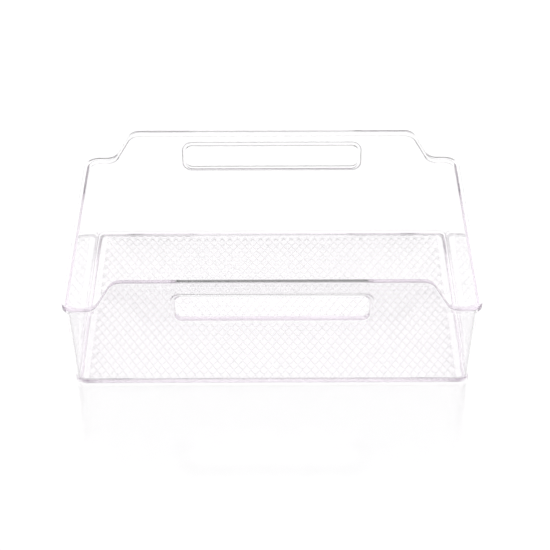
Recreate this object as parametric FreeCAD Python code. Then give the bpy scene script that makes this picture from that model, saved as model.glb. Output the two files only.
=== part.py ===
"""Wide clear fridge bin: a thin-walled open tray with a raised centre and a hand slot in both long walls.

Millimetres. +X runs along the long walls, -Y is the front, +Z is up, and the origin is the middle of the
underside. The real bin is one injection moulding, so each solid below is one region of it: the regions meet
face to face, share no volume and together make the whole moulding.
"""
import FreeCAD, Part
import math
import os

from FreeCAD import Vector

# Overall size, over the rim
LENGTH = 315.7
WIDTH = 204.2
HEIGHT = 104.3            # top of the raised centre of the long walls
LOW_HEIGHT = 77.3         # top of the end walls and of the four corners

# Tub
WALL = 2.4
FLOOR = 2.2
BASE_LENGTH = 306.5       # outside of the walls, at the underside
BASE_WIDTH = 195.0
DRAFT = 0.03              # outward lean of every wall, mm per mm of height
BASE_CORNER_R = 10.0      # outside corner radius in plan
INNER_BEND_R = 3.5        # inside bend between floor and wall
OUTER_BEND_R = 2.0        # outside bend between floor and wall

# Groove round the underside, which leaves a narrow foot outside it
GROOVE_INSET = 3.6        # from the outline of the underside to the groove
GROOVE_WIDTH = 1.4
GROOVE_DEPTH = 1.1

# Rim: a solid band round the outside of the walls' top, rounded above and bevelled a little below
RIM_DROP = 4.9            # from the rim's top to its underside
RIM_CAP = 2.2             # the wall regions end this far below the rim's top
RIM_CORNER_R = 14.0
RIM_ROUND_R = 1.45        # along the outside of the rim's top
RIM_BEVEL = 0.3           # along the outside of the rim's underside

# Crest line of the long walls: low, an S-curve, the raised centre, an S-curve, low
CREST_MID_X = 125.1       # where the S-curve is half way up
CREST_R = 11.0            # radius of both of its bends
CREST_SLOPE = 60.0        # degrees, on the straight run between the bends

# Hand slot and the collar that stiffens its edge
SLOT_LENGTH = 144.7
SLOT_LOW = 68.4
SLOT_HIGH = 90.1
SLOT_R = 5.0
COLLAR_T = 3.0
COLLAR_SETBACK = 0.15     # how far the collar's face stays behind the rim's
COLLAR_EDGE_R = 0.77

# Planes that part the regions
CORNER_SPAN = 14.5        # each corner region, measured in from the rim's edge
RISE_START_X = 109.6      # where the raised rim ends and the regions that hold the S-curves begin

# Cutting solids
FAR = 400.0               # larger than the bin
OVERSHOOT = 20.0          # how far a cutting solid runs past the bin's top or underside
TOUCH = 1e-4              # points this close count as lying on a plane

HALF_LENGTH = LENGTH / 2
HALF_WIDTH = WIDTH / 2
CORNER_X = HALF_LENGTH - CORNER_SPAN
CORNER_Y = HALF_WIDTH - CORNER_SPAN
COLLAR_HALF = SLOT_LENGTH / 2 + COLLAR_T
COLLAR_LOW = SLOT_LOW - COLLAR_T
COLLAR_HIGH = SLOT_HIGH + COLLAR_T


def box(low, high):
    """Axis-aligned box between two corners."""
    size = [high[i] - low[i] for i in range(3)]
    return Part.makeBox(*size, Vector(*low))


def rounded_rectangle(half_u, half_v, radius, place):
    """Closed wire of a rounded rectangle; place(u, v) gives each point in space."""
    edges = []
    diagonal = radius * (1 - math.sqrt(0.5))
    corners = [(1, -1), (1, 1), (-1, 1), (-1, -1)]
    starts, middles, ends = [], [], []
    for su, sv in corners:
        along_u = place(su * (half_u - radius), sv * half_v)
        along_v = place(su * half_u, sv * (half_v - radius))
        middles.append(place(su * (half_u - diagonal), sv * (half_v - diagonal)))
        starts.append(along_u if su * sv < 0 else along_v)
        ends.append(along_v if su * sv < 0 else along_u)
    for i in range(4):
        edges.append(Part.Arc(starts[i], middles[i], ends[i]).toShape())
        edges.append(Part.LineSegment(ends[i], starts[(i + 1) % 4]).toShape())
    return Part.Wire(edges)


def plan_wire(half_x, half_y, radius, z):
    return rounded_rectangle(half_x, half_y, radius, lambda u, v: Vector(u, v, z))


def plan_prism(half_x, half_y, radius, low, high):
    """Upright prism with a rounded rectangle for its plan."""
    face = Part.Face(plan_wire(half_x, half_y, radius, low))
    return face.extrude(Vector(0, 0, high - low))


def drafted_block(inset, low, high):
    """Solid bounded by the leaning walls: inset 0 is their outside, inset WALL their inside."""
    wires = []
    for z in (low, high):
        lean = DRAFT * z - inset
        wires.append(plan_wire(BASE_LENGTH / 2 + lean, BASE_WIDTH / 2 + lean, BASE_CORNER_R - inset, z))
    return Part.makeLoft(wires, True, True)


def round_edges_at(solid, z, radius):
    """Fillet every edge that lies in the plane at height z."""
    edges = []
    for edge in solid.Edges:
        bounds = edge.BoundBox
        if abs(bounds.ZMin - z) < TOUCH and abs(bounds.ZMax - z) < TOUCH:
            edges.append(edge)
    return solid.makeFillet(radius, edges)


def under_crest(drop):
    """Everything below the crest line after it has moved straight down by drop."""
    slope = math.radians(CREST_SLOPE)
    rise = HEIGHT - LOW_HEIGHT
    bend_x = CREST_R * math.sin(slope)
    bend_z = CREST_R * (1 - math.cos(slope))
    half_bend_x = CREST_R * math.sin(slope / 2)
    half_bend_z = CREST_R * (1 - math.cos(slope / 2))
    straight_x = (rise - 2 * bend_z) / math.tan(slope)
    low_x = CREST_MID_X + straight_x / 2 + bend_x
    high_x = CREST_MID_X - straight_x / 2 - bend_x
    low_z = LOW_HEIGHT - drop
    high_z = HEIGHT - drop

    def point(side, x, z):
        return Vector(side * x, -FAR, z)

    def s_curve(side):
        """Edges from the low end up to the raised centre, on the side given by its sign."""
        foot = point(side, low_x, low_z)
        foot_middle = point(side, low_x - half_bend_x, low_z + half_bend_z)
        foot_end = point(side, low_x - bend_x, low_z + bend_z)
        head_start = point(side, high_x + bend_x, high_z - bend_z)
        head_middle = point(side, high_x + half_bend_x, high_z - half_bend_z)
        head = point(side, high_x, high_z)
        return [
            Part.LineSegment(point(side, FAR, low_z), foot).toShape(),
            Part.Arc(foot, foot_middle, foot_end).toShape(),
            Part.LineSegment(foot_end, head_start).toShape(),
            Part.Arc(head_start, head_middle, head).toShape(),
        ]

    base = -FAR
    edges = s_curve(1) + s_curve(-1)
    edges.append(Part.LineSegment(point(1, high_x, high_z), point(-1, high_x, high_z)).toShape())
    for side in (1, -1):
        edges.append(Part.LineSegment(point(side, FAR, low_z), point(side, FAR, base)).toShape())
    edges.append(Part.LineSegment(point(1, FAR, base), point(-1, FAR, base)).toShape())
    wire = Part.Wire(Part.__sortEdges__(edges))
    return Part.Face(wire).extrude(Vector(0, 2 * FAR, 0))


def slot_prism(grow, side):
    """The hand slot made larger all round by grow, from the bin's middle out through one long wall."""
    middle_z = (SLOT_LOW + SLOT_HIGH) / 2
    half_x = SLOT_LENGTH / 2 + grow
    half_z = (SLOT_HIGH - SLOT_LOW) / 2 + grow
    wire = rounded_rectangle(half_x, half_z, SLOT_R + grow, lambda u, v: Vector(u, 0, middle_z + v))
    return Part.Face(wire).extrude(Vector(0, side * FAR, 0))


def underside_groove():
    """Ring that cuts the groove under the floor's edge."""
    rings = []
    for inset in (GROOVE_INSET, GROOVE_INSET + GROOVE_WIDTH):
        half_x = BASE_LENGTH / 2 - inset
        half_y = BASE_WIDTH / 2 - inset
        rings.append(plan_prism(half_x, half_y, BASE_CORNER_R - inset, -OVERSHOOT, GROOVE_DEPTH))
    return rings[0].cut(rings[1])


def outside_block():
    """The bin's outside below the rim, filled solid, with square bends."""
    return drafted_block(0, 0, HEIGHT + OVERSHOOT)


def inside_block():
    """The space between the walls' inner faces, from the floor up past the rim, with square bends."""
    return drafted_block(WALL, FLOOR, HEIGHT + OVERSHOOT)


def make_tub():
    """Floor and walls up to the underside of the rim, with the space for both slot collars left out."""
    outside = round_edges_at(outside_block(), 0, OUTER_BEND_R)
    inside = round_edges_at(inside_block(), FLOOR, INNER_BEND_R)
    tub = outside.cut(inside).cut(underside_groove()).common(under_crest(RIM_CAP))
    for side in (-1, 1):
        tub = tub.cut(slot_prism(COLLAR_T, side))
    return tub


def shared_edges(solid, first, second):
    """Edges of a solid that lie on the surfaces of two other solids."""
    found = []
    for edge in solid.Edges:
        middle = edge.valueAt((edge.FirstParameter + edge.LastParameter) / 2)
        if all(on_surface(other, middle) for other in (first, second)):
            found.append(edge)
    return found


def on_surface(solid, point):
    return solid.isInside(point, TOUCH, True) and not solid.isInside(point, TOUCH, False)


def make_rim():
    """Band all the way round, following the crest line, and closed over the top of the walls."""
    outline = plan_prism(HALF_LENGTH, HALF_WIDTH, RIM_CORNER_R, -OVERSHOOT, HEIGHT + OVERSHOOT)
    top = under_crest(0)
    underside = under_crest(RIM_DROP)
    walls = outside_block().common(under_crest(RIM_CAP))
    rim = outline.common(top).cut(underside).cut(inside_block()).cut(walls)
    rim = rim.makeFillet(RIM_ROUND_R, shared_edges(rim, outline, top))
    return rim.makeChamfer(RIM_BEVEL, shared_edges(rim, outline, underside))


def make_collar(side, wall_corners):
    """Frame round one hand slot, from the wall's inner face out to just behind the rim's.

    wall_corners is the wall left outside the frame's four round corners, which squares the region off.
    """
    face_y = HALF_WIDTH - COLLAR_SETBACK
    frame = slot_prism(COLLAR_T, side).cut(slot_prism(0, side))
    frame = frame.cut(inside_block())
    ys = sorted((0, side * face_y))
    frame = frame.common(box((-FAR, ys[0], -FAR), (FAR, ys[1], FAR)))
    face_edges = []
    for edge in frame.Edges:
        bounds = edge.BoundBox
        if abs(bounds.YMin - side * face_y) < TOUCH and abs(bounds.YMax - side * face_y) < TOUCH:
            face_edges.append(edge)
    return frame.makeFillet(COLLAR_EDGE_R, face_edges).fuse(wall_corners).removeSplitter()


def corner_zones():
    """Name and cutting box of each corner region."""
    zones = {}
    for x_name, sx in (("left", -1), ("right", 1)):
        for y_name, sy in (("front", -1), ("back", 1)):
            xs = sorted((sx * CORNER_X, sx * FAR))
            ys = sorted((sy * CORNER_Y, sy * FAR))
            zones[f"{y_name}_{x_name}_corner"] = box((xs[0], ys[0], -FAR), (xs[1], ys[1], FAR))
    return zones


def end_zones():
    """Name and cutting box of the two short sides."""
    zones = {}
    for name, sx in (("left", -1), ("right", 1)):
        xs = sorted((sx * CORNER_X, sx * FAR))
        zones[name] = box((xs[0], -CORNER_Y, -FAR), (xs[1], CORNER_Y, FAR))
    return zones


def long_zone(side, x_low, x_high, z_low, z_high):
    ys = sorted((side * CORNER_Y, side * FAR))
    return box((x_low, ys[0], z_low), (x_high, ys[1], z_high))


def build_nodes():
    """Every region of the moulding by name."""
    nodes = {}
    tub = make_tub()
    rim = make_rim()

    floor_half_x = BASE_LENGTH / 2 - WALL - INNER_BEND_R
    floor_half_y = BASE_WIDTH / 2 - WALL - INNER_BEND_R
    floor_corner_r = BASE_CORNER_R - WALL - INNER_BEND_R
    floor_zone = plan_prism(floor_half_x, floor_half_y, floor_corner_r, -OVERSHOOT, FLOOR + OVERSHOOT)
    nodes["floor_panel"] = tub.common(floor_zone)
    walls = tub.cut(floor_zone)

    for name, zone in corner_zones().items():
        nodes[f"{name}_wall"] = walls.common(zone)
        nodes[f"{name}_rim"] = rim.common(zone)
    for name, zone in end_zones().items():
        nodes[f"{name}_wall"] = walls.common(zone)
        nodes[f"{name}_rim"] = rim.common(zone)

    for name, side in (("front", -1), ("back", 1)):
        nodes[f"{name}_wall_lower"] = walls.common(long_zone(side, -CORNER_X, CORNER_X, -FAR, COLLAR_LOW))
        bridge_zone = long_zone(side, -COLLAR_HALF, COLLAR_HALF, COLLAR_HIGH, FAR)
        nodes[f"{name}_wall_bridge"] = walls.common(bridge_zone)
        collar_zone = long_zone(side, -COLLAR_HALF, COLLAR_HALF, COLLAR_LOW, COLLAR_HIGH)
        nodes[f"{name}_handle_collar"] = make_collar(side, walls.common(collar_zone))
        nodes[f"{name}_rim_raised"] = rim.common(long_zone(side, -RISE_START_X, RISE_START_X, -FAR, FAR))
        for end_name, sx in (("left", -1), ("right", 1)):
            xs = sorted((sx * COLLAR_HALF, sx * CORNER_X))
            nodes[f"{name}_wall_{end_name}_shoulder"] = walls.common(long_zone(side, *xs, COLLAR_LOW, FAR))
            xs = sorted((sx * RISE_START_X, sx * CORNER_X))
            nodes[f"{name}_rim_{end_name}_rise"] = rim.common(long_zone(side, *xs, -FAR, FAR))
    return nodes


def main():
    os.makedirs("parts", exist_ok=True)
    for name, shape in build_nodes().items():
        shape.exportStep(f"parts/{name}.step")


main()
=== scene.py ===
"""Clear fridge bin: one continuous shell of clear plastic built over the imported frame, in metres."""
import math

import bmesh
import bpy
from mathutils import Matrix, Vector


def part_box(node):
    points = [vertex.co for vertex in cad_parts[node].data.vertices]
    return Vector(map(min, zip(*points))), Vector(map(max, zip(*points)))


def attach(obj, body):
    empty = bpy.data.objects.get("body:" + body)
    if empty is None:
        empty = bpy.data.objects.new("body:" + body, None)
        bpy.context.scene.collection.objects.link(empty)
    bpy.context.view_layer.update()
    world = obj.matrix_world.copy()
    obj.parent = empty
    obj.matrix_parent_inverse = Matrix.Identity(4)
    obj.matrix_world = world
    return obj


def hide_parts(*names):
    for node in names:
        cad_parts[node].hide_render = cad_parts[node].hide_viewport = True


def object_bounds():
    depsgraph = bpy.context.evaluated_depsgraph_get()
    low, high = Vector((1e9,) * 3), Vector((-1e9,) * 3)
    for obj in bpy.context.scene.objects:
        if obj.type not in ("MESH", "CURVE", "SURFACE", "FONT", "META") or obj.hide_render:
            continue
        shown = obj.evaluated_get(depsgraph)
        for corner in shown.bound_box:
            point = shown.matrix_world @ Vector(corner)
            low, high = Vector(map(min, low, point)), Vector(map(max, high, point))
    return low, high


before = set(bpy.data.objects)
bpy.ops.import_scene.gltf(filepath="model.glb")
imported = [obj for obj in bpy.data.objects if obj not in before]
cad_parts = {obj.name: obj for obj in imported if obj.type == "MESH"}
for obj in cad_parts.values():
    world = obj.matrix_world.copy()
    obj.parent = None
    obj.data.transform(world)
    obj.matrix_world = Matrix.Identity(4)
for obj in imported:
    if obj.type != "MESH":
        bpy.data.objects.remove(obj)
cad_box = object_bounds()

MM = 0.001
TOUCH = 1e-6                   # lengths this close count as equal

# ---------------------------------------------------------------- sizes read from the frame
HALF_LENGTH = cad_box[1][0]
HALF_WIDTH = cad_box[1][1]
HEIGHT = cad_box[1][2]
LOW_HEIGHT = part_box("left_rim")[1].z
RIM_DROP = LOW_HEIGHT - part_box("left_rim")[0].z
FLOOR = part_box("floor_panel")[1].z
FLOOR_HALF_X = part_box("floor_panel")[1].x
FLOOR_HALF_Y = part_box("floor_panel")[1].y
COLLAR_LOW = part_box("front_handle_collar")[0].z
COLLAR_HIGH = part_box("front_handle_collar")[1].z
COLLAR_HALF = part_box("front_handle_collar")[1].x
COLLAR_FACE = -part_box("front_handle_collar")[0].y

# ---------------------------------------------------------------- sizes of the moulding's section
DRAFT = 0.03                   # outward lean of the walls, per unit of height
WALL = 2.4 * MM
OUTER_R = 10.0 * MM            # outside of the wall, from the corner's centre
INNER_R = OUTER_R - WALL
BEND_IN = 3.5 * MM             # bends between floor and wall
BEND_OUT = 2.0 * MM
FLOOR_R = INNER_R - BEND_IN    # edge of the flat floor, from the corner's centre
RIM_ROUND = 1.45 * MM          # along the outside of the rim's top
RIM_LIP = 0.5 * MM             # along the inside of the rim's top
RIM_BEVEL = 0.3 * MM           # along the outside of the rim's underside
RIM_FILLET = 0.25 * MM         # where the rim's underside meets the wall
COLLAR_T = 3.0 * MM
COLLAR_EDGE = 0.77 * MM
COLLAR_FILLET = 0.35 * MM      # where the collar meets the wall
SLOT_R = 5.0 * MM
GROOVE_R = 5.7 * MM            # middle of the groove under the floor's edge, from the corner's centre
GROOVE_HALF = 0.7 * MM
GROOVE_DEEP = 1.1 * MM

# How many pieces the section's arcs are drawn with
BEND_STEPS = 10
ROUND_STEPS = 12
SMALL_STEPS = 5
GROOVE_STEPS = 8

# ---------------------------------------------------------------- crest line and patches of the long walls
CREST_MID_X = 125.1 * MM
CREST_R = 11.0 * MM
CREST_SLOPE = math.radians(60.0)
CREST_BEND_DROP = CREST_R * (1 - math.cos(CREST_SLOPE))
CREST_REACH = CREST_R * math.sin(CREST_SLOPE)
CREST_RUN = (HEIGHT - LOW_HEIGHT - 2 * CREST_BEND_DROP) / math.tan(CREST_SLOPE)
CREST_INNER = CREST_MID_X - CREST_RUN / 2      # ends of the straight slope
CREST_OUTER = CREST_MID_X + CREST_RUN / 2

# Straight sides run between these corner centres, which lean outwards with the walls
CENTRE_X = FLOOR_HALF_X - FLOOR_R
CENTRE_Y = FLOOR_HALF_Y - FLOOR_R

# Part of each long wall that is rebuilt round the hand slot
PATCH_HALF = COLLAR_HALF + 4.0 * MM
PATCH_LOW = COLLAR_LOW - 3.0 * MM
PATCH_HIGH = COLLAR_HIGH + 1.5 * MM

# Floor emboss: rhombs of this length and width, sunk between flat ribs
EMBOSS_EDGE_X = 2.0 * MM       # flat floor left outside the pattern, at least
EMBOSS_EDGE_Y = 1.0 * MM
RHOMB_X = 6.7 * MM
RHOMB_Y = 11.3 * MM
RHOMB_DEEP = 0.30 * MM
RIB_HALF = 0.35 * MM
RIB_SLOPE = 0.75 * MM

SHARP_ANGLE = math.radians(20)

# ---------------------------------------------------------------- table, and brightness of it and of the studio
TABLE_HALF = 3.0
TABLE_GAP = 0.02 * MM          # keeps the table's face clear of the bin's underside
TABLE_WHITE = 0.9
TABLE_GLOW = 0.28
TABLE_POLISH = 0.75            # share of the table's surface that reflects like enamel
SKY = 1.0                      # straight up
BACKDROP = 1.185               # behind the bin
SIDES = 0.05                   # left and right
FRONT = 0.03                   # the camera's side
FRONT_STOP = 0.36              # where each brightness is reached, from 0 in front to 1 behind
SIDES_STOP = 0.5
BACKDROP_STOP = 0.68
SKY_FROM = 0.72                # the ceiling fades in between these heights of the direction
SKY_TO = 0.95

# ---------------------------------------------------------------- camera
LENS_MM = 100.15
SENSOR_MM = 36.0
CAMERA_AT = (0.0011, -0.9748, 0.8056)
CAMERA_DOWN = 38.5             # degrees below level
CAMERA_TURN = -0.073           # degrees, small corrections
CAMERA_ROLL = -0.138


# ---------------------------------------------------------------- crest line of the long walls
def crest(x):
    """Height of the rim's top and its slope angle at x, on a long wall."""
    x = abs(x)
    if x <= CREST_INNER - CREST_REACH:
        return HEIGHT, 0.0
    if x >= CREST_OUTER + CREST_REACH:
        return LOW_HEIGHT, 0.0
    if x < CREST_INNER:
        angle = math.asin((x - CREST_INNER + CREST_REACH) / CREST_R)
        return HEIGHT - CREST_R * (1 - math.cos(angle)), angle
    if x > CREST_OUTER:
        angle = math.asin((CREST_OUTER + CREST_REACH - x) / CREST_R)
        return LOW_HEIGHT + CREST_R * (1 - math.cos(angle)), angle
    return HEIGHT - CREST_BEND_DROP - (x - CREST_INNER) * math.tan(CREST_SLOPE), CREST_SLOPE


def crest_stations():
    """Half of a long wall's stations: x from the middle out to the corner's start."""
    steps = 14
    bend = [CREST_R * math.sin(CREST_SLOPE * i / steps) for i in range(steps + 1)]
    start = CREST_INNER - CREST_REACH
    end = CREST_OUTER + CREST_REACH
    xs = [PATCH_HALF * i / 6 for i in range(7)]
    xs += [PATCH_HALF + (start - PATCH_HALF) * i / 3 for i in (1, 2)]
    xs += [start + reach for reach in bend]
    xs += [CREST_INNER + CREST_RUN * i / 4 for i in range(1, 4)]
    xs += [end - reach for reach in reversed(bend)]
    xs.append((end + CENTRE_X) / 2)
    return xs


# ---------------------------------------------------------------- section of the moulding
def arc(centre, radii, start, end, steps):
    """Points of an ellipse arc in the section plane, angles in degrees."""
    points = []
    for i in range(steps + 1):
        angle = math.radians(start + (end - start) * i / steps)
        points.append((centre[0] + radii[0] * math.cos(angle), centre[1] + radii[1] * math.sin(angle)))
    return points


def section(top, angle):
    """Closed section from the floor's edge, up the inside, over the rim and down the outside.

    Each point is a distance from the corner's centre and a height. Steep parts of the crest stretch the
    roundings upwards, so that they keep their radius square to the crest.
    """
    stretch = 1 / math.cos(angle)
    rim_out = HALF_LENGTH - (CENTRE_X - DRAFT * FLOOR) - DRAFT * top
    foot = top - RIM_DROP
    points = arc((FLOOR_R, FLOOR + BEND_IN), (BEND_IN, BEND_IN), -90, 0, BEND_STEPS)
    for level in (PATCH_LOW, PATCH_HIGH):
        share = (level - FLOOR - BEND_IN) / (HEIGHT - FLOOR - BEND_IN)
        points.append((INNER_R, FLOOR + BEND_IN + share * (top - FLOOR - BEND_IN)))
    points += arc((INNER_R + RIM_LIP, top - RIM_LIP * stretch),
                  (RIM_LIP, RIM_LIP * stretch), 180, 90, SMALL_STEPS)
    points += arc((rim_out - RIM_ROUND, top - RIM_ROUND * stretch),
                  (RIM_ROUND, RIM_ROUND * stretch), 90, 0, ROUND_STEPS)
    points.append((rim_out, foot + RIM_BEVEL * stretch))
    points.append((rim_out - RIM_BEVEL, foot))
    points += arc((OUTER_R + RIM_FILLET, foot - RIM_FILLET * stretch),
                  (RIM_FILLET, RIM_FILLET * stretch), 90, 180, SMALL_STEPS)
    for level in (PATCH_HIGH, PATCH_LOW):
        share = (level - BEND_OUT) / (HEIGHT - BEND_OUT)
        points.append((OUTER_R, BEND_OUT + share * (top - BEND_OUT)))
    points += arc((OUTER_R - BEND_OUT, BEND_OUT), (BEND_OUT, BEND_OUT), 0, -90, BEND_STEPS)
    points += arc((GROOVE_R, 0.0), (GROOVE_HALF, GROOVE_DEEP), 0, 180, GROOVE_STEPS)
    return points


INNER_PATCH_ROW = BEND_STEPS + 1       # the section's index of the patch's lower line, inside the wall


def outer_patch_row(points):
    """Index of the patch's upper line, outside the wall."""
    after = (GROOVE_STEPS + 1) + (BEND_STEPS + 1)
    return len(points) - after - 2


# ---------------------------------------------------------------- stations round the bin
def stations():
    """Places round the plan where the section is set, anticlockwise from the middle of the front."""
    long_half = crest_stations()
    rows = []

    def straight(values, side, along_x):
        for value in values:
            top, angle = crest(value) if along_x else (LOW_HEIGHT, 0.0)
            rows.append({"along": value, "along_x": along_x, "side": side, "top": top, "angle": angle})

    def corner(sign_x, sign_y, start):
        steps = 24
        for i in range(steps + 1):
            turn = math.radians(start + 90.0 * i / steps)
            rows.append({"corner": (sign_x, sign_y), "turn": turn, "top": LOW_HEIGHT, "angle": 0.0})

    short = [CENTRE_Y * i / 4 for i in range(-3, 4)]
    straight(long_half, -1, True)
    corner(1, -1, -90)
    straight(short, 1, False)
    corner(1, 1, 0)
    straight(long_half[::-1] + [-x for x in long_half[1:]], 1, True)
    corner(-1, 1, 90)
    straight([-y for y in short], -1, False)
    corner(-1, -1, 180)
    straight([-x for x in reversed(long_half[1:])], -1, True)
    return rows


def place(row, distance, z):
    """A section point of one station, in space."""
    centre_x = CENTRE_X + DRAFT * (z - FLOOR)
    centre_y = CENTRE_Y + DRAFT * (z - FLOOR)
    if "corner" in row:
        sign_x, sign_y = row["corner"]
        return Vector((sign_x * centre_x + distance * math.cos(row["turn"]),
                       sign_y * centre_y + distance * math.sin(row["turn"]), z))
    if row["along_x"]:
        return Vector((row["along"], row["side"] * (centre_y + distance), z))
    return Vector((row["side"] * (centre_x + distance), row["along"], z))


def wall_y(distance, z):
    """How far out a long wall's surface is at height z."""
    return CENTRE_Y + DRAFT * (z - FLOOR) + distance


# ---------------------------------------------------------------- building blocks
def fill_between(bm, *loops):
    """Fill the flat space bounded by closed vertex loops."""
    edges = []
    for loop in loops:
        for a, b in zip(loop, loop[1:] + loop[:1]):
            edges.append(bm.edges.get((a, b)) or bm.edges.new((a, b)))
    bmesh.ops.triangle_fill(bm, edges=edges, use_beauty=True)


def skin(bm, loops):
    """Quads between one closed loop and the next."""
    for first, second in zip(loops, loops[1:]):
        for i in range(len(first)):
            j = (i + 1) % len(first)
            bm.faces.new((first[i], first[j], second[j], second[i]))


def slot_outline(grow):
    """Points (x, z) round the hand slot's outline, moved out by grow."""
    half_x = COLLAR_HALF - COLLAR_T
    low = COLLAR_LOW + COLLAR_T
    high = COLLAR_HIGH - COLLAR_T
    radius = SLOT_R + grow
    centre_x = half_x - SLOT_R
    centres = [(centre_x, low + SLOT_R, -90), (centre_x, high - SLOT_R, 0),
               (-centre_x, high - SLOT_R, 90), (-centre_x, low + SLOT_R, 180)]
    steps = 12
    points = []
    for cx, cz, start in centres:
        for i in range(steps + 1):
            angle = math.radians(start + 90 * i / steps)
            points.append((cx + radius * math.cos(angle), cz + radius * math.sin(angle)))
    return points


def slot_profile():
    """Through the slot from the wall's inside to its outside: how far out from the slot, on what, and offset."""
    edge = COLLAR_EDGE
    fillet = COLLAR_FILLET
    quarter = [math.radians(90 * i / SMALL_STEPS) for i in range(SMALL_STEPS + 1)]
    profile = [(edge * (1 - math.sin(a)), "inside", edge * (1 - math.cos(a))) for a in quarter]
    profile += [(edge * (1 - math.cos(a)), "face", -edge * (1 - math.sin(a))) for a in quarter]
    profile += [(COLLAR_T - edge * (1 - math.sin(a)), "face", -edge * (1 - math.cos(a))) for a in quarter]
    profile += [(COLLAR_T + fillet * (1 - math.cos(a)), "outside", fillet * (1 - math.sin(a))) for a in quarter]
    return profile


def slot_loops(bm, side):
    """Loops from the wall's inside, through the slot and back over the collar to the wall's outside."""
    loops = []
    for grow, surface, offset in slot_profile():
        loop = []
        for x, z in slot_outline(grow):
            base = {"inside": wall_y(INNER_R, z), "outside": wall_y(OUTER_R, z), "face": COLLAR_FACE}[surface]
            loop.append(bm.verts.new((x, side * (base + offset), z)))
        loops.append(loop)
    return loops


def patch_loop(grid, columns, row):
    """Closed loop of grid vertices round the faces between one row and the next: columns are stations."""
    return [grid[c][row] for c in columns] + [grid[c][row + 1] for c in reversed(columns)]


def build_shell():
    """The whole moulding as one closed mesh."""
    bm = bmesh.new()
    rows = stations()
    grid = []
    for row in rows:
        points = section(row["top"], row["angle"])
        grid.append([bm.verts.new(place(row, d, z)) for d, z in points])
    count = len(rows)
    depth = len(grid[0])
    out_row = outer_patch_row(grid[0])
    in_row = INNER_PATCH_ROW

    def in_patch(index):
        a, b = rows[index], rows[(index + 1) % count]
        if "corner" in a or "corner" in b or not a["along_x"]:
            return False
        widest = max(abs(a["along"]), abs(b["along"]))
        return widest <= PATCH_HALF + TOUCH and a["side"] == b["side"]

    for i in range(count):
        j = (i + 1) % count
        for k in range(depth - 1):
            if in_patch(i) and k in (in_row, out_row):
                continue
            bm.faces.new((grid[i][k], grid[j][k], grid[j][k + 1], grid[i][k + 1]))

    for side in (-1, 1):
        columns = [i for i in range(count)
                   if "corner" not in rows[i] and rows[i]["along_x"] and rows[i]["side"] == side
                   and abs(rows[i]["along"]) <= PATCH_HALF + TOUCH]
        columns.sort(key=lambda i: rows[i]["along"])
        loops = slot_loops(bm, side)
        skin(bm, loops)
        fill_between(bm, patch_loop(grid, columns, in_row), loops[0])
        fill_between(bm, patch_loop(grid, columns, out_row), loops[-1])

    bm.faces.new([column[-1] for column in grid])
    fill_between(bm, [column[0] for column in grid], build_emboss(bm))
    bmesh.ops.recalc_face_normals(bm, faces=bm.faces)
    return bm


def build_emboss(bm):
    """Sunk rhombs over the floor. Returns the closed loop of vertices round the whole pattern."""
    half_x = RHOMB_X / 2
    half_y = RHOMB_Y / 2
    nx = int((FLOOR_HALF_X - EMBOSS_EDGE_X) / half_x)
    ny = int((FLOOR_HALF_Y - EMBOSS_EDGE_Y) / half_y)
    nodes = {}

    def node(i, j):
        if (i, j) not in nodes:
            nodes[(i, j)] = bm.verts.new((i * half_x, j * half_y, FLOOR))
        return nodes[(i, j)]

    def cell(corners):
        """One sunk cell: a flat rib round it, a slope, and a flat bottom."""
        points = [v.co.copy() for v in corners]
        rings = [corners]
        for inset, drop in ((RIB_HALF, 0.0), (RIB_HALF + RIB_SLOPE, RHOMB_DEEP)):
            rings.append([bm.verts.new(p - Vector((0, 0, drop))) for p in inset_polygon(points, inset)])
        skin(bm, rings)
        bm.faces.new(rings[-1])

    for i in range(-nx, nx + 1):
        for j in range(-ny, ny + 1):
            if (i + j) % 2 == (nx + ny) % 2:
                continue
            corners = [(i + 1, j), (i, j + 1), (i - 1, j), (i, j - 1)]
            inside = [(a, b) for a, b in corners if abs(a) <= nx and abs(b) <= ny]
            if len(inside) >= 3:
                cell([node(a, b) for a, b in inside])
    edge = []
    parity = (nx + ny) % 2
    for i in range(-nx, nx + 1):
        if (i - ny) % 2 == parity:
            edge.append(node(i, -ny))
    for j in range(-ny, ny + 1):
        if (j + nx) % 2 == parity:
            edge.append(node(nx, j))
    for i in range(nx, -nx - 1, -1):
        if (i + ny) % 2 == parity:
            edge.append(node(i, ny))
    for j in range(ny, -ny - 1, -1):
        if (j - nx) % 2 == parity:
            edge.append(node(-nx, j))
    unique = []
    for vert in edge:
        if not unique or unique[-1] is not vert:
            unique.append(vert)
    if unique[0] is unique[-1]:
        unique.pop()
    return unique


def inset_polygon(points, distance):
    """Corners of a convex polygon in the floor's plane, with every side moved in by distance."""
    count = len(points)
    area = sum(points[i].x * points[(i + 1) % count].y - points[(i + 1) % count].x * points[i].y
               for i in range(count))
    turn = 1 if area > 0 else -1
    moved = []
    for i in range(count):
        before, here, after = points[i - 1], points[i], points[(i + 1) % count]
        d1 = (here - before).normalized()
        d2 = (after - here).normalized()
        n1 = Vector((-d1.y, d1.x, 0)) * turn
        n2 = Vector((-d2.y, d2.x, 0)) * turn
        bisector = n1 + n2
        moved.append(here + bisector * (distance / (1 + n1.dot(n2))))
    return moved


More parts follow.
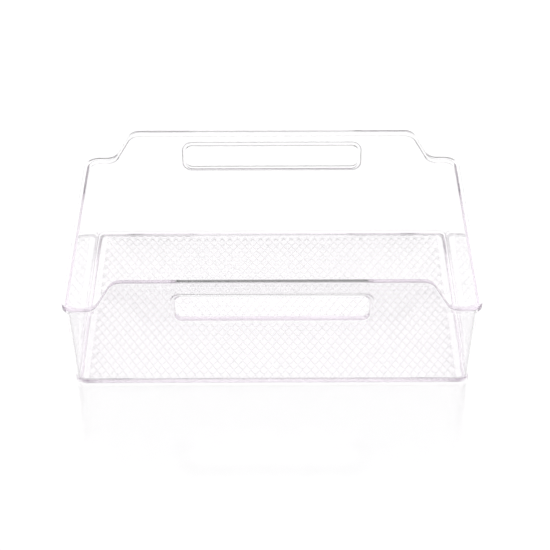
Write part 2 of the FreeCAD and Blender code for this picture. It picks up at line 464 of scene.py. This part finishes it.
# ---------------------------------------------------------------- material
def clear_plastic():
    """Clear styrene: faint lilac body colour, polished faces with a little mould texture and handling haze."""
    material = bpy.data.materials.new("clear_plastic")
    material.use_nodes = True
    nodes = material.node_tree.nodes
    links = material.node_tree.links
    shader = nodes["Principled BSDF"]
    shader.inputs["Base Color"].default_value = (0.997, 0.994, 0.998, 1.0)
    shader.inputs["IOR"].default_value = 1.57
    shader.inputs["Transmission Weight"].default_value = 1.0
    shader.inputs["Specular IOR Level"].default_value = 0.5
    where = nodes.new("ShaderNodeTexCoord")
    haze = nodes.new("ShaderNodeTexNoise")
    haze.inputs["Scale"].default_value = 35.0
    haze.inputs["Detail"].default_value = 4.0
    links.new(where.outputs["Object"], haze.inputs["Vector"])
    spread = nodes.new("ShaderNodeMapRange")
    spread.inputs["From Min"].default_value = 0.35
    spread.inputs["From Max"].default_value = 0.75
    spread.inputs["To Min"].default_value = 0.0
    spread.inputs["To Max"].default_value = 0.05
    links.new(haze.outputs["Fac"], spread.inputs["Value"])
    links.new(spread.outputs["Result"], shader.inputs["Roughness"])
    ripple = nodes.new("ShaderNodeTexNoise")
    ripple.inputs["Scale"].default_value = 22.0
    ripple.inputs["Detail"].default_value = 1.0
    links.new(where.outputs["Object"], ripple.inputs["Vector"])
    bump = nodes.new("ShaderNodeBump")
    bump.inputs["Strength"].default_value = 0.15
    bump.inputs["Distance"].default_value = 0.2 * MM
    links.new(ripple.outputs["Fac"], bump.inputs["Height"])
    links.new(bump.outputs["Normal"], shader.inputs["Normal"])
    tint = nodes.new("ShaderNodeVolumeAbsorption")
    tint.inputs["Color"].default_value = (0.64, 0.18, 0.68, 1.0)
    tint.inputs["Density"].default_value = 1.4
    links.new(tint.outputs["Volume"], nodes["Material Output"].inputs["Volume"])
    return material


def make_bin():
    """The visible moulding, in place of all the CAD nodes."""
    bm = build_shell()
    mesh = bpy.data.meshes.new("bin_shell")
    for face in bm.faces:
        face.smooth = True
    bm.to_mesh(mesh)
    bm.free()
    shell = bpy.data.objects.new("bin_shell", mesh)
    bpy.context.scene.collection.objects.link(shell)
    mesh.set_sharp_from_angle(angle=SHARP_ANGLE)
    weighted = shell.modifiers.new("even_normals", "WEIGHTED_NORMAL")
    weighted.keep_sharp = True
    shell.data.materials.append(clear_plastic())
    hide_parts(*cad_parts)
    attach(shell, "root")


# ---------------------------------------------------------------- stage, light and camera
def white_table():
    """White enamel: a little glow, and mostly a soft reflection of the studio."""
    material = bpy.data.materials.new("white_table")
    material.use_nodes = True
    nodes = material.node_tree.nodes
    links = material.node_tree.links
    paint = nodes["Principled BSDF"]
    paint.inputs["Base Color"].default_value = (TABLE_WHITE, TABLE_WHITE, TABLE_WHITE, 1.0)
    paint.inputs["Emission Color"].default_value = (1.0, 1.0, 1.0, 1.0)
    paint.inputs["Emission Strength"].default_value = TABLE_GLOW
    paint.inputs["Roughness"].default_value = 0.25
    paint.inputs["Specular IOR Level"].default_value = 0.3
    polish = nodes.new("ShaderNodeBsdfGlossy")
    polish.inputs["Roughness"].default_value = 0.22
    polish.inputs["Color"].default_value = (1.0, 1.0, 1.0, 1.0)
    both = nodes.new("ShaderNodeMixShader")
    both.inputs["Fac"].default_value = TABLE_POLISH
    links.new(paint.outputs["BSDF"], both.inputs[1])
    links.new(polish.outputs["BSDF"], both.inputs[2])
    links.new(both.outputs["Shader"], nodes["Material Output"].inputs["Surface"])
    return material


def make_stage():
    """The table that the bin stands on."""
    bm = bmesh.new()
    half = TABLE_HALF
    corners = ((-half, -half), (half, -half), (half, half), (-half, half))
    bm.faces.new([bm.verts.new((x, y, 0.0)) for x, y in corners])
    mesh = bpy.data.meshes.new("table")
    bm.to_mesh(mesh)
    bm.free()
    table = bpy.data.objects.new("table", mesh)
    bpy.context.scene.collection.objects.link(table)
    table.location.z = -TABLE_GAP
    table.data.materials.append(white_table())


def make_light():
    """Soft studio: a white ceiling and backdrop, dark to the sides and on the camera's side."""
    world = bpy.data.worlds.new("studio")
    bpy.context.scene.world = world
    world.use_nodes = True
    nodes = world.node_tree.nodes
    links = world.node_tree.links
    background = nodes["Background"]
    where = nodes.new("ShaderNodeTexCoord")
    split = nodes.new("ShaderNodeSeparateXYZ")
    links.new(where.outputs["Generated"], split.inputs["Vector"])

    around = nodes.new("ShaderNodeMapRange")
    around.inputs["From Min"].default_value = -1.0
    links.new(split.outputs["Y"], around.inputs["Value"])
    low = nodes.new("ShaderNodeValToRGB")
    low.color_ramp.elements[0].position = FRONT_STOP
    low.color_ramp.elements[0].color = (FRONT, FRONT, FRONT, 1)
    low.color_ramp.elements[1].position = BACKDROP_STOP
    low.color_ramp.elements[1].color = (BACKDROP, BACKDROP, BACKDROP, 1)
    middle = low.color_ramp.elements.new(SIDES_STOP)
    middle.color = (SIDES, SIDES, SIDES, 1)
    links.new(around.outputs["Result"], low.inputs["Fac"])

    height = nodes.new("ShaderNodeMapRange")
    height.interpolation_type = "SMOOTHSTEP"
    height.inputs["From Min"].default_value = SKY_FROM
    height.inputs["From Max"].default_value = SKY_TO
    links.new(split.outputs["Z"], height.inputs["Value"])
    mix = nodes.new("ShaderNodeMix")
    mix.data_type = "RGBA"
    links.new(height.outputs["Result"], mix.inputs["Factor"])
    links.new(low.outputs["Color"], mix.inputs["A"])
    mix.inputs["B"].default_value = (SKY, SKY, SKY, 1)
    links.new(mix.outputs["Result"], background.inputs["Color"])
    background.inputs["Strength"].default_value = 1.0


def make_camera():
    """The camera, in front of the bin and above it."""
    camera = bpy.data.cameras.new("camera")
    camera.sensor_width = SENSOR_MM
    camera.lens = LENS_MM
    rig = bpy.data.objects.new("camera", camera)
    bpy.context.scene.collection.objects.link(rig)
    turn = Matrix.Rotation(math.radians(CAMERA_TURN), 4, "Z")
    tilt = Matrix.Rotation(math.radians(90.0 - CAMERA_DOWN), 4, "X")
    roll = Matrix.Rotation(math.radians(CAMERA_ROLL), 4, "Z")
    rig.matrix_world = Matrix.Translation(CAMERA_AT) @ turn @ tilt @ roll
    bpy.context.scene.camera = rig


# Light has to be followed a long way through clear plastic
scene = bpy.context.scene
scene.view_settings.view_transform = "Standard"
scene.cycles.max_bounces = 64
scene.cycles.transmission_bounces = 64
scene.cycles.glossy_bounces = 64
scene.cycles.diffuse_bounces = 8
scene.cycles.blur_glossy = 0.0
make_bin()
make_stage()
make_light()
make_camera()

bpy.context.view_layer.update()
